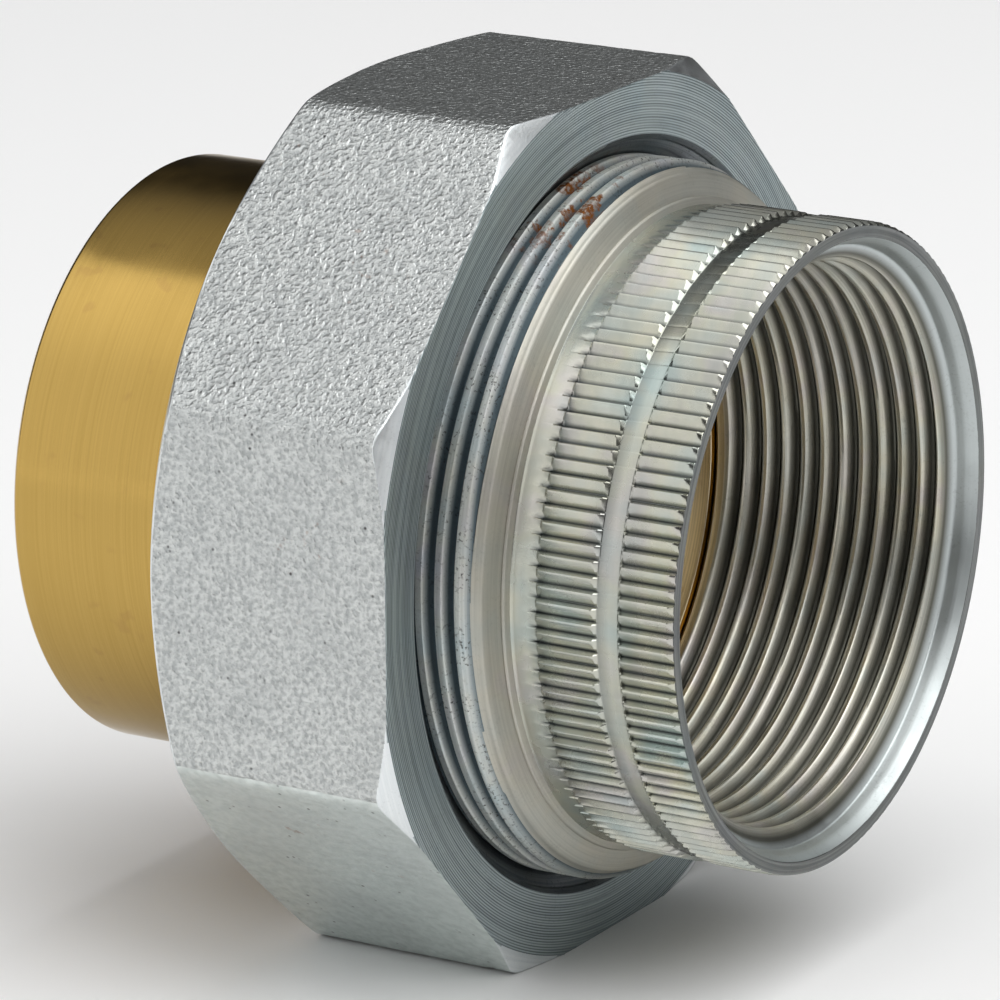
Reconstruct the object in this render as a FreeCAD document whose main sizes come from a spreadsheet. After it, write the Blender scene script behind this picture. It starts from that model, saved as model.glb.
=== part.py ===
"""Two-inch dielectric pipe union: a threaded steel body joined to a brass solder tail by an octagon nut.

Every length is in millimetres. Each piece is drawn along +X from the mouth of the solder cup (x = 0) to
the face of the threaded port, and is then placed so that the middle of the closed union is the origin.
The waterway lies along X and a flat of the nut faces down, towards -Z.
"""

import FreeCAD, Part
import os

import Sketcher
from FreeCAD import Vector

SIZES = (
    # Waterway and solder cup
    ("waterway_radius", 27.0),
    ("cup_radius", 27.05),
    ("cup_depth", 34.0),
    ("cup_lead_in", 0.6),
    ("stop_height", 1.45),
    ("stop_width", 2.2),
    ("stop_ramp", 1.5),
    ("tail_wall", 3.45),
    # The three lengths that show from outside
    ("stub_length", 25.3),
    ("nut_length", 27.0),
    ("body_reach", 25.1),
    # Insulating sleeve
    ("sleeve_wall", 1.4),
    ("sleeve_flange", 1.7),
    ("sleeve_overhang", 0.8),
    ("skirt_wall", 1.2),
    ("skirt_cover", 4.5),
    # Clearances
    ("turning_clearance", 0.1),
    ("face_clearance", 0.05),
    ("nose_clearance", 0.3),
    ("gasket_clearance", 0.25),
    ("skirt_passage", 0.4),
    ("flange_gap", 0.6),
    ("pilot_gap", 0.6),
    # Tail flange, nose and gasket
    ("flange_thickness", 5.4),
    ("flange_height", 2.9),
    ("nose_length", 5.9),
    ("pilot_wall", 1.9),
    ("gasket_thickness", 2.2),
    ("gasket_width", 2.0),
    # Straight union thread
    ("thread_pitch", 2.2087),
    ("flank_angle", 30.0),
    ("thread_phase", 1.88),
    ("thread_reach", 3.9),
    ("body_crest_flat", 0.75),
    ("nut_crest_flat", 0.3),
    ("thread_play", 0.6),
    ("thread_relief", 0.1),
    ("nut_thread_start", 0.6),
    # Nut
    ("lip_thickness", 7.8),
    ("nut_wall", 5.65),
    ("mouth_step", 0.65),
    ("mouth_depth", 2.0),
    ("face_overhang", 1.05),
    ("face_chamfer_angle", 30.0),
    ("back_inset", 0.2),
    ("back_chamfer_angle", 34.0),
    # Turned ring and serrated collar of the steel body
    ("ring_land_drop", 0.95),
    ("ring_slope_length", 1.0),
    ("ring_land_length", 0.7),
    ("ring_cone_length", 0.8),
    ("collar_wall", 2.65),
    ("undercut_depth", 0.45),
    ("undercut_start", 6.95),
    ("tooth_start", 8.5),
    ("collar_start", 10.0),
    ("collar_edge", 0.25),
    ("band_start", 16.4),
    ("band_end", 19.2),
    ("tooth_count", 132),
    ("tooth_depth", 0.6),
    # Tapered pipe thread, one in sixteen on the diameter
    ("taper_per_side", 0.03125),
    ("taper_angle", 1.78991),
    ("port_crest_flat", 0.25),
    ("port_countersink", 0.8),
    ("port_land_length", 1.4),
    ("port_rim_width", 1.35),
    ("lip_step", 0.4),
    ("port_thread_end", 1.0),
    # Small broken edges
    ("broken_edge", 0.5),
    ("cutter_run_out", 0.3),
)


def size(name):
    """The spreadsheet cell that holds one driving dimension."""
    return "Sizes." + name


def total(*terms):
    """An expression that adds its terms."""
    return "(" + " + ".join(terms) + ")"


def less(first, *others):
    """An expression that takes every other term from the first."""
    return "(" + " - ".join((first,) + others) + ")"


# Stations along the axis
CUP_MOUTH = "0"
NUT_BACK = size("stub_length")
NUT_FACE = total(NUT_BACK, size("nut_length"))
PORT_FACE = total(NUT_FACE, size("body_reach"))
LIP_FRONT = total(NUT_BACK, size("lip_thickness"))
SLEEVE_BACK = total(LIP_FRONT, size("face_clearance"))
SLEEVE_FRONT = total(SLEEVE_BACK, size("sleeve_flange"))
FLANGE_BACK = total(SLEEVE_FRONT, size("face_clearance"))
FLANGE_FRONT = total(FLANGE_BACK, size("flange_thickness"))
BODY_END = total(FLANGE_FRONT, size("flange_gap"))
NOSE_FRONT = total(FLANGE_FRONT, size("nose_length"))
GASKET_BACK = total(NOSE_FRONT, size("face_clearance"))
SEAT = total(GASKET_BACK, size("gasket_thickness"))
PILOT_FRONT = less(SEAT, size("pilot_gap"))
NUT_THREAD_START = less(BODY_END, size("nut_thread_start"))
MOUTH_BACK = less(NUT_FACE, size("mouth_depth"))

# Radii of the tail, sleeve, gasket and recess, from the waterway outwards
TAIL_RADIUS = total(size("cup_radius"), size("tail_wall"))
PILOT_RADIUS = total(size("waterway_radius"), size("pilot_wall"))
GASKET_INNER = total(PILOT_RADIUS, size("gasket_clearance"))
GASKET_OUTER = total(GASKET_INNER, size("gasket_width"))
RECESS_RADIUS = total(GASKET_OUTER, size("gasket_clearance"))
NOSE_RADIUS = less(RECESS_RADIUS, size("nose_clearance"))
FLANGE_RADIUS = total(f"max({NOSE_RADIUS}; {TAIL_RADIUS})", size("flange_height"))
SLEEVE_INNER = total(TAIL_RADIUS, size("turning_clearance"))
SLEEVE_OUTER = total(SLEEVE_INNER, size("sleeve_wall"))
SKIRT_INNER = total(FLANGE_RADIUS, size("turning_clearance"))
SKIRT_OUTER = total(SKIRT_INNER, size("skirt_wall"))

# Union thread: each groove is a vee that leaves a crest flat between its turns
FLANK_SLOPE = f"tan({size('flank_angle')} * 1 deg)"


def vee_depth(crest_flat):
    """Depth of a sharp vee groove that leaves this crest flat in every pitch."""
    return f"(({size('thread_pitch')} - {size(crest_flat)}) / 2 / {FLANK_SLOPE})"


NUT_CREST = total(SKIRT_OUTER, size("skirt_passage"))
NUT_ROOT = total(NUT_CREST, vee_depth("nut_crest_flat"))
BODY_ROOT = less(NUT_CREST, size("thread_play"))
BODY_CREST = total(BODY_ROOT, vee_depth("body_crest_flat"))
CHAMBER_RADIUS = total(NUT_ROOT, size("thread_relief"))
MOUTH_RADIUS = total(NUT_ROOT, size("mouth_step"))
LIP_BORE = total(SLEEVE_OUTER, size("turning_clearance"))
HALF_FLATS = total(MOUTH_RADIUS, size("nut_wall"))
FACE_RADIUS = total(HALF_FLATS, size("face_overhang"))
BACK_RADIUS = less(HALF_FLATS, size("back_inset"))
CORNER_RADIUS = f"({HALF_FLATS} / cos(22.5 deg))"
PHASE_POINT = total(NUT_FACE, size("thread_phase"))
WHOLE_TURNS = f"ceil(({PHASE_POINT} - {BODY_END}) / {size('thread_pitch')} + 0.6)"
BODY_VEE_START = f"({PHASE_POINT} - {WHOLE_TURNS} * {size('thread_pitch')})"
NUT_VEE_START = f"({BODY_VEE_START} - {size('thread_pitch')} / 2)"

# Tapered pipe thread
PORT_LIP = total(size("waterway_radius"), size("lip_step"))
PORT_CREST = f"({PORT_LIP} + ({PORT_FACE} - {SEAT}) * {size('taper_per_side')})"
PORT_ROOT = total(PORT_CREST, vee_depth("port_crest_flat"))
COLLAR_RADIUS = total(PORT_ROOT, size("collar_wall"))
UNDERCUT_RADIUS = less(COLLAR_RADIUS, size("undercut_depth"))
PORT_RIM_INNER = less(COLLAR_RADIUS, size("collar_edge"), size("port_rim_width"))
PORT_LAND_RADIUS = less(PORT_RIM_INNER, size("port_countersink"))
PORT_LAND_END = less(PORT_FACE, size("port_countersink"), size("port_land_length"))
PORT_VEE_START = total(SEAT, size("port_thread_end"))
PORT_VEE_RADIUS = f"({PORT_ROOT} - ({PORT_FACE} - {PORT_VEE_START}) * {size('taper_per_side')})"
MIDDLE = f"({PORT_FACE} / 2)"

doc = FreeCAD.newDocument("pipe_union")
sheet = doc.addObject("Spreadsheet::Sheet", "Sizes")
for row, (alias, value) in enumerate(SIZES, start=1):
    sheet.set(f"A{row}", alias)
    sheet.set(f"B{row}", str(value))
    sheet.setAlias(f"B{row}", alias)
doc.recompute()


def origin_plane(body, role):
    """One of a body's own origin planes or axes, found by its role."""
    return next(feature for feature in body.Origin.OriginFeatures if feature.Role == role)


def new_body(name):
    """A body whose placement puts the middle of the closed union at the origin."""
    body = doc.addObject("PartDesign::Body", name)
    body.Label = name
    body.setExpression("Placement.Base.x", f"-{MIDDLE}")
    return body


def outline(body, name, corners, plane="XZ_Plane"):
    """A closed sketch through corners given as pairs of expressions, along and away from the axis."""
    sketch = body.newObject("Sketcher::SketchObject", name)
    sketch.AttachmentSupport = (origin_plane(body, plane), [""])
    sketch.MapMode = "FlatFace"
    places = [tuple(float(sheet.evalExpression(text)) for text in corner) for corner in corners]
    points = [Vector(across, up, 0) for across, up in places]
    following = points[1:] + points[:1]
    sketch.addGeometry([Part.LineSegment(*ends) for ends in zip(points, following)], False)
    for index, (corner, place) in enumerate(zip(corners, places)):
        after = (index + 1) % len(corners)
        sketch.addConstraint(Sketcher.Constraint("Coincident", index, 2, after, 1))
        for direction, text, value in zip(("DistanceX", "DistanceY"), corner, place):
            number = sketch.addConstraint(Sketcher.Constraint(direction, -1, 1, index, 1, value))
            sketch.setExpression(f"Constraints[{number}]", text)
    return sketch


def turned(body, kind, name, corners):
    """A Revolution or Groove of a closed outline around the X axis."""
    sketch = outline(body, name + "_outline", corners)
    feature = body.newObject("PartDesign::" + kind, name)
    feature.Profile = sketch
    feature.ReferenceAxis = (sketch, ["H_Axis"])
    feature.Angle = 360
    return feature


def cut_thread(body, name, start, root, crest_flat, end, outward, taper=None):
    """Cuts a right-hand vee thread whose point lies at radius root; outward is true in a bore."""
    side = "-" if outward else "+"
    reach = f"({vee_depth(crest_flat)} + {size('cutter_run_out')})"
    half_width = f"({reach} * {FLANK_SLOPE})"
    open_side = f"({root} {side} {reach})"
    corners = (
        (start, root),
        (total(start, half_width), open_side),
        (less(start, half_width), open_side),
    )
    sketch = outline(body, name + "_vee", corners)
    helix = body.newObject("PartDesign::SubtractiveHelix", name)
    helix.Profile = sketch
    helix.ReferenceAxis = (sketch, ["H_Axis"])
    helix.Mode = "pitch-height-angle"
    helix.LeftHanded = False
    helix.setExpression("Pitch", size("thread_pitch"))
    helix.setExpression("Height", less(end, start))
    if taper:
        helix.setExpression("Angle", size(taper))
    return helix


def make_steel_body():
    """The female half: union thread, turned ring, serrated collar and tapered pipe thread."""
    body = new_body("steel_body")
    edge = size("broken_edge")
    thread_end = total(NUT_FACE, size("thread_reach"))
    land_start = total(thread_end, size("ring_slope_length"))
    land_end = total(land_start, size("ring_land_length"))
    cone_end = total(land_end, size("ring_cone_length"))
    undercut = total(NUT_FACE, size("undercut_start"))
    shoulder = total(NUT_FACE, size("collar_start"))
    band = total(NUT_FACE, size("band_start"))
    band_front = total(NUT_FACE, size("band_end"))
    land_radius = less(BODY_CREST, size("ring_land_drop"))
    foot_radius = total(COLLAR_RADIUS, size("collar_edge"))
    chamfer = size("collar_edge")
    crest_at_land = f"({PORT_CREST} - ({PORT_FACE} - {PORT_LAND_END}) * {size('taper_per_side')})"
    flank = f"(({PORT_LAND_RADIUS} - {crest_at_land}) * {FLANK_SLOPE})"
    corners = (
        (BODY_END, total(RECESS_RADIUS, edge)),
        (BODY_END, less(BODY_CREST, edge)),
        (total(BODY_END, edge), BODY_CREST),
        (thread_end, BODY_CREST),
        (land_start, land_radius),
        (land_end, land_radius),
        (cone_end, foot_radius),
        (less(undercut, chamfer), foot_radius),
        (undercut, UNDERCUT_RADIUS),
        (shoulder, UNDERCUT_RADIUS),
        (total(shoulder, chamfer), COLLAR_RADIUS),
        (band, COLLAR_RADIUS),
        (total(band, chamfer), UNDERCUT_RADIUS),
        (less(band_front, chamfer), UNDERCUT_RADIUS),
        (band_front, COLLAR_RADIUS),
        (less(PORT_FACE, edge), COLLAR_RADIUS),
        (PORT_FACE, less(COLLAR_RADIUS, chamfer)),
        (PORT_FACE, PORT_RIM_INNER),
        (less(PORT_FACE, size("port_countersink")), PORT_LAND_RADIUS),
        (PORT_LAND_END, PORT_LAND_RADIUS),
        (less(PORT_LAND_END, flank), crest_at_land),
        (total(SEAT, edge), PORT_LIP),
        (SEAT, total(PORT_LIP, edge)),
        (SEAT, RECESS_RADIUS),
        (total(BODY_END, edge), RECESS_RADIUS),
    )
    turned(body, "Revolution", "steel_turning", corners)
    cut_thread(
        body, "union_thread", BODY_VEE_START, BODY_ROOT, "body_crest_flat", land_start, outward=False
    )
    cut_thread(
        body,
        "pipe_thread",
        PORT_VEE_START,
        PORT_VEE_RADIUS,
        "port_crest_flat",
        total(PORT_FACE, f"{size('thread_pitch')} / 2"),
        outward=True,
        taper="taper_angle",
    )
    cut_teeth(body)
    return body


def cut_teeth(body):
    """Straight serrations round the collar: one vee slot, repeated around the axis."""
    root = less(COLLAR_RADIUS, size("tooth_depth"))
    top = total(COLLAR_RADIUS, size("cutter_run_out"))
    half_width = less(top, root)
    corners = (("0", root), (half_width, top), ("-" + half_width, top))
    sketch = outline(body, "tooth_slot_outline", corners, "YZ_Plane")
    sketch.setExpression("AttachmentOffset.Base.z", total(NUT_FACE, size("tooth_start")))
    slot = body.newObject("PartDesign::Pocket", "tooth_slot")
    slot.Profile = sketch
    slot.Reversed = True
    slot.setExpression("Length", total(size("body_reach"), "1"))
    pattern = body.newObject("PartDesign::PolarPattern", "teeth")
    pattern.Originals = [slot]
    pattern.Axis = (origin_plane(body, "X_Axis"), [""])
    pattern.Angle = 360
    pattern.setExpression("Occurrences", size("tooth_count"))
    body.Tip = pattern
    return pattern


def make_union_nut():
    """The octagon nut: forged flats, turned faces, inner lip and straight thread."""
    body = new_body("union_nut")
    edge = size("broken_edge")
    prism = body.newObject("PartDesign::AdditivePrism", "octagon")
    prism.AttachmentSupport = (origin_plane(body, "YZ_Plane"), [""])
    prism.MapMode = "FlatFace"
    prism.AttachmentOffset.Rotation = FreeCAD.Rotation(Vector(0, 0, 1), 22.5)
    prism.setExpression("AttachmentOffset.Base.z", NUT_BACK)
    prism.Polygon = 8
    prism.setExpression("Circumradius", CORNER_RADIUS)
    prism.setExpression("Height", size("nut_length"))
    over = total(CORNER_RADIUS, "1")
    before = less(NUT_BACK, "1")
    beyond = total(NUT_FACE, "1")
    thread_lead = less(NUT_THREAD_START, f"(({CHAMBER_RADIUS} - {NUT_CREST}) * {FLANK_SLOPE})")
    thread_exit = total(MOUTH_BACK, f"(({MOUTH_RADIUS} - {NUT_CREST}) * {FLANK_SLOPE})")
    bore = (
        (before, "0"),
        (before, total(LIP_BORE, edge)),
        (NUT_BACK, total(LIP_BORE, edge)),
        (total(NUT_BACK, edge), LIP_BORE),
        (LIP_FRONT, LIP_BORE),
        (LIP_FRONT, CHAMBER_RADIUS),
        (thread_lead, CHAMBER_RADIUS),
        (NUT_THREAD_START, NUT_CREST),
        (MOUTH_BACK, NUT_CREST),
        (thread_exit, MOUTH_RADIUS),
        (less(NUT_FACE, edge), MOUTH_RADIUS),
        (NUT_FACE, total(MOUTH_RADIUS, edge)),
        (beyond, total(MOUTH_RADIUS, edge)),
        (beyond, "0"),
    )
    turned(body, "Groove", "nut_bore", bore)
    front_slope = f"(({over} - {FACE_RADIUS}) * tan({size('face_chamfer_angle')} * 1 deg))"
    back_slope = f"(({over} - {BACK_RADIUS}) * tan({size('back_chamfer_angle')} * 1 deg))"
    front = (
        (NUT_FACE, FACE_RADIUS),
        (less(NUT_FACE, front_slope), over),
        (beyond, over),
        (beyond, FACE_RADIUS),
    )
    back = (
        (NUT_BACK, BACK_RADIUS),
        (before, BACK_RADIUS),
        (before, over),
        (total(NUT_BACK, back_slope), over),
    )
    turned(body, "Groove", "front_corner_chamfer", front)
    turned(body, "Groove", "back_corner_chamfer", back)
    cut_thread(
        body, "nut_thread", NUT_VEE_START, NUT_ROOT, "nut_crest_flat", less(NUT_FACE, "0.4"), outward=True
    )
    return body


def make_solder_tail():
    """The brass half: solder cup, tube stop, flange, nose and the pilot lip inside the gasket."""
    body = new_body("solder_tail")
    edge = size("broken_edge")
    stop_radius = less(size("cup_radius"), size("stop_height"))
    stop_front = total(size("cup_depth"), size("stop_width"))
    corners = (
        (CUP_MOUTH, less(TAIL_RADIUS, edge)),
        (edge, TAIL_RADIUS),
        (FLANGE_BACK, TAIL_RADIUS),
        (FLANGE_BACK, FLANGE_RADIUS),
        (less(FLANGE_FRONT, edge), FLANGE_RADIUS),
        (FLANGE_FRONT, less(FLANGE_RADIUS, edge)),
        (FLANGE_FRONT, NOSE_RADIUS),
        (less(NOSE_FRONT, edge), NOSE_RADIUS),
        (NOSE_FRONT, less(NOSE_RADIUS, edge)),
        (NOSE_FRONT, PILOT_RADIUS),
        (PILOT_FRONT, PILOT_RADIUS),
        (PILOT_FRONT, size("waterway_radius")),
        (total(stop_front, size("stop_ramp")), size("waterway_radius")),
        (stop_front, stop_radius),
        (size("cup_depth"), stop_radius),
        (size("cup_depth"), size("cup_radius")),
        (size("cup_lead_in"), size("cup_radius")),
        (CUP_MOUTH, total(size("cup_radius"), size("cup_lead_in"))),
    )
    turned(body, "Revolution", "tail_turning", corners)
    return body


def make_insulating_sleeve():
    """The plastic ring that keeps the steel nut off the brass: tube, flange and skirt in one."""
    body = new_body("insulating_sleeve")
    corners = (
        (less(NUT_BACK, size("sleeve_overhang")), SLEEVE_INNER),
        (less(NUT_BACK, size("sleeve_overhang")), SLEEVE_OUTER),
        (SLEEVE_BACK, SLEEVE_OUTER),
        (SLEEVE_BACK, SKIRT_OUTER),
        (total(SLEEVE_FRONT, size("skirt_cover")), SKIRT_OUTER),
        (total(SLEEVE_FRONT, size("skirt_cover")), SKIRT_INNER),
        (SLEEVE_FRONT, SKIRT_INNER),
        (SLEEVE_FRONT, SLEEVE_INNER),
    )
    turned(body, "Revolution", "sleeve_moulding", corners)
    return body


def make_gasket():
    """The flat rubber ring pressed between the brass nose and the steel seat."""
    body = new_body("gasket")
    corners = (
        (GASKET_BACK, GASKET_INNER),
        (GASKET_BACK, GASKET_OUTER),
        (SEAT, GASKET_OUTER),
        (SEAT, GASKET_INNER),
    )
    turned(body, "Revolution", "gasket_ring", corners)
    return body


def check(bodies):
    """Stops if any object failed to recompute or any piece is not one valid solid."""
    for item in doc.Objects:
        if "Invalid" in item.State or "Error" in item.State:
            raise RuntimeError(f"{item.Label} did not recompute: {item.State}")
    for body in bodies:
        shape = body.Shape
        if shape.isNull() or not shape.isValid() or len(shape.Solids) != 1:
            raise RuntimeError(f"{body.Label} is not one valid solid")


makers = (make_steel_body, make_gasket, make_insulating_sleeve, make_solder_tail, make_union_nut)
pieces = [make() for make in makers]
doc.recompute()
check(pieces)
os.makedirs("parts", exist_ok=True)
for piece in pieces:
    piece.Shape.exportStep(f"parts/{piece.Label}.step")
    print(f"{piece.Label}: {piece.Shape.Volume:.0f} mm3")
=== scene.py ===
"""Looks of a dielectric pipe union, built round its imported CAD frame.

Each piece of the union is a class. It takes its stations and largest radii from the frame, keeps its smaller
sizes as fields, turns them into a closed, finely shaped skin and gives the skin its finish. Sizes are in
millimetres until a skin becomes a mesh, which is in metres.
"""

import logging
import math
from collections.abc import Callable, Sequence
from dataclasses import dataclass, field
from enum import Enum

import bmesh
import bpy
import numpy as np
from mathutils import Matrix, Vector, noise


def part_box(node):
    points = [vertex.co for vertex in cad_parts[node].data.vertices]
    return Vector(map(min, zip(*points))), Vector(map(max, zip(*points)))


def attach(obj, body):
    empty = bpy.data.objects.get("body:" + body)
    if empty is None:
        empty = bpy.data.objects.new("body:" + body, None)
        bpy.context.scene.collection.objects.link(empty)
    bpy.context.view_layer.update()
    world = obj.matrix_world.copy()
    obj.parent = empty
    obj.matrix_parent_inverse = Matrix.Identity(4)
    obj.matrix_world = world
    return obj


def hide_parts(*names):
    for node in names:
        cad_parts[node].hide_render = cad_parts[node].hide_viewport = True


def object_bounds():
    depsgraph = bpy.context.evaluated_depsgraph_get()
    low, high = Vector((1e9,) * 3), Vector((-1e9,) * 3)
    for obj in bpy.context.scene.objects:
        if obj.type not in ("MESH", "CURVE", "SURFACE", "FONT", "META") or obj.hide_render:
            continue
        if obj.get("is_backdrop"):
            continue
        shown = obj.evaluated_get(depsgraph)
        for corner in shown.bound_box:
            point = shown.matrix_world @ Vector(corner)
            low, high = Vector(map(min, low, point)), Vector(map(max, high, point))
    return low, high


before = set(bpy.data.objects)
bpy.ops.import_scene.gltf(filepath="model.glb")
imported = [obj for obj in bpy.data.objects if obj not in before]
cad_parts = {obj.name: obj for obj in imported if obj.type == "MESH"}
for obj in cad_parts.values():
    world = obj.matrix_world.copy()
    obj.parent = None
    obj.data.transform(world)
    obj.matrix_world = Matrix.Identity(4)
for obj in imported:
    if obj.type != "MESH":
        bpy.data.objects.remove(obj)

MM = 0.001
TURN = 2 * math.pi
# Both threads have 11.5 turns to the inch, with 60 degree grooves.
PITCH = 2.2087
FLANK_DEGREES = 30
COT_FLANK = 1 / math.tan(math.radians(FLANK_DEGREES))
PIPE_TAPER = 1 / 32
OCTANT = TURN / 8
# Straight up, a groove of the union thread lies this far ahead of the nut's face.
UNION_GROOVE = 1.88

Colour = tuple[float, float, float]
Path = np.ndarray
Socket = bpy.types.NodeSocket
log = logging.getLogger("pipe_union")

SPECK: Colour = (0.05, 0.045, 0.04)
RUST: Colour = (0.22, 0.08, 0.022)
PASSIVATION: tuple[tuple[float, Colour], ...] = (
    (0.30, (0.34, 0.55, 0.60)),
    (0.42, (0.62, 0.66, 0.58)),
    (0.52, (0.80, 0.72, 0.48)),
    (0.62, (0.74, 0.58, 0.60)),
    (0.74, (0.46, 0.52, 0.66)),
)


class Side(Enum):
    """Which side of a wall a thread is cut into."""

    OUTSIDE = 1
    BORE = -1


@dataclass(frozen=True)
class Corner:
    """One corner of an outline, rounded over a short distance each way.

    Attributes:
        station: Place along the waterway, in mm.
        radius: Distance from the axis, in mm.
        ease: How far from the corner its rounding begins, in mm.
    """

    station: float
    radius: float
    ease: float = 0.15


@dataclass(frozen=True)
class Ring:
    """One closed circle of a skin: its point numbers and their angles."""

    points: list[int]
    angles: list[float]


def soft_least(first: np.ndarray, second: np.ndarray, ease: float) -> np.ndarray:
    """The lesser of two heights, with the corner between them rounded off.

    Args:
        first: One set of heights.
        second: The other set of heights.
        ease: Height difference over which they blend, in mm.

    Returns:
        The blended lesser heights.
    """
    share = np.clip(0.5 + 0.5 * (second - first) / ease, 0, 1)
    return second * (1 - share) + first * share - ease * share * (1 - share)


def ramp_between(value: np.ndarray | float, low: float, high: float) -> np.ndarray:
    """A smooth step from 0 at low to 1 at high."""
    share = np.clip((np.asarray(value, float) - low) / (high - low), 0, 1)
    return share * share * (3 - 2 * share)


def grain(station: float, radius: float, angle: float, size: float, seed: float = 0.0) -> float:
    """Smooth noise in space, about -1 to 1.

    Args:
        station: Place along the waterway, in mm.
        radius: Distance from the axis, in mm.
        angle: Turn from straight up, in radians.
        size: Size of one lump, in mm.
        seed: Moves the pattern.

    Returns:
        The noise at that point.
    """
    across = -radius * math.sin(angle) / size
    up = radius * math.cos(angle) / size
    return noise.noise(Vector((station / size + seed, across - seed, up + 2 * seed)))


def rounded_path(corners: Sequence[Corner], steps: int = 4) -> Path:
    """An outline with each corner eased into a short curve.

    Args:
        corners: The outline's corners in order.
        steps: Spans in each curve.

    Returns:
        Stations and radii along the outline.
    """
    sharp = [np.array((corner.station, corner.radius)) for corner in corners]
    points = [sharp[0]]
    for before, corner, here, after in zip(sharp, corners[1:-1], sharp[1:], sharp[2:]):
        back, ahead = before - here, after - here
        reach = min(corner.ease, 0.45 * np.linalg.norm(back), 0.45 * np.linalg.norm(ahead))
        start = here + back / max(np.linalg.norm(back), 1e-9) * reach
        end = here + ahead / max(np.linalg.norm(ahead), 1e-9) * reach
        for share in np.linspace(0, 1, steps + 1):
            points.append((1 - share) ** 2 * start + 2 * share * (1 - share) * here + share**2 * end)
    points.append(sharp[-1])
    return np.array(points)


def filled_path(path: Path, spacing: float, along: int = 0) -> Path:
    """Adds points to an outline's long spans at whole multiples of a spacing.

    Args:
        path: Stations and radii.
        spacing: Distance between the added points, in mm.
        along: 0 to space them by station, 1 by radius.

    Returns:
        The path with the added points.
    """
    points = [path[0]]
    for start, end in zip(path, path[1:]):
        low, high = sorted((start[along], end[along]))
        marks = np.arange(math.ceil(low / spacing), math.floor(high / spacing) + 1) * spacing
        marks = marks[(marks > low + 0.3 * spacing) & (marks < high - 0.3 * spacing)]
        if end[along] < start[along]:
            marks = marks[::-1]
        for mark in marks:
            share = (mark - start[along]) / (end[along] - start[along])
            points.append(start + share * (end - start))
        points.append(end)
    return np.array(points)


def even_angles(count: int) -> np.ndarray:
    """Angles of evenly spaced columns round a full turn."""
    return np.arange(count) * TURN / count


def off_flat(angle: float | np.ndarray) -> float | np.ndarray:
    """Turn from the middle of the nearest of the nut's eight flats, in radians."""
    return (angle + OCTANT / 2) % OCTANT - OCTANT / 2


def direction(azimuth: float, elevation: float) -> Vector:
    """The way to a camera or lamp, in degrees: azimuth 0 is towards -Y, and 90 towards +X."""
    turn, lift = math.radians(azimuth), math.radians(elevation)
    return Vector((math.sin(turn) * math.cos(lift), -math.cos(turn) * math.cos(lift), math.sin(lift)))


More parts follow.
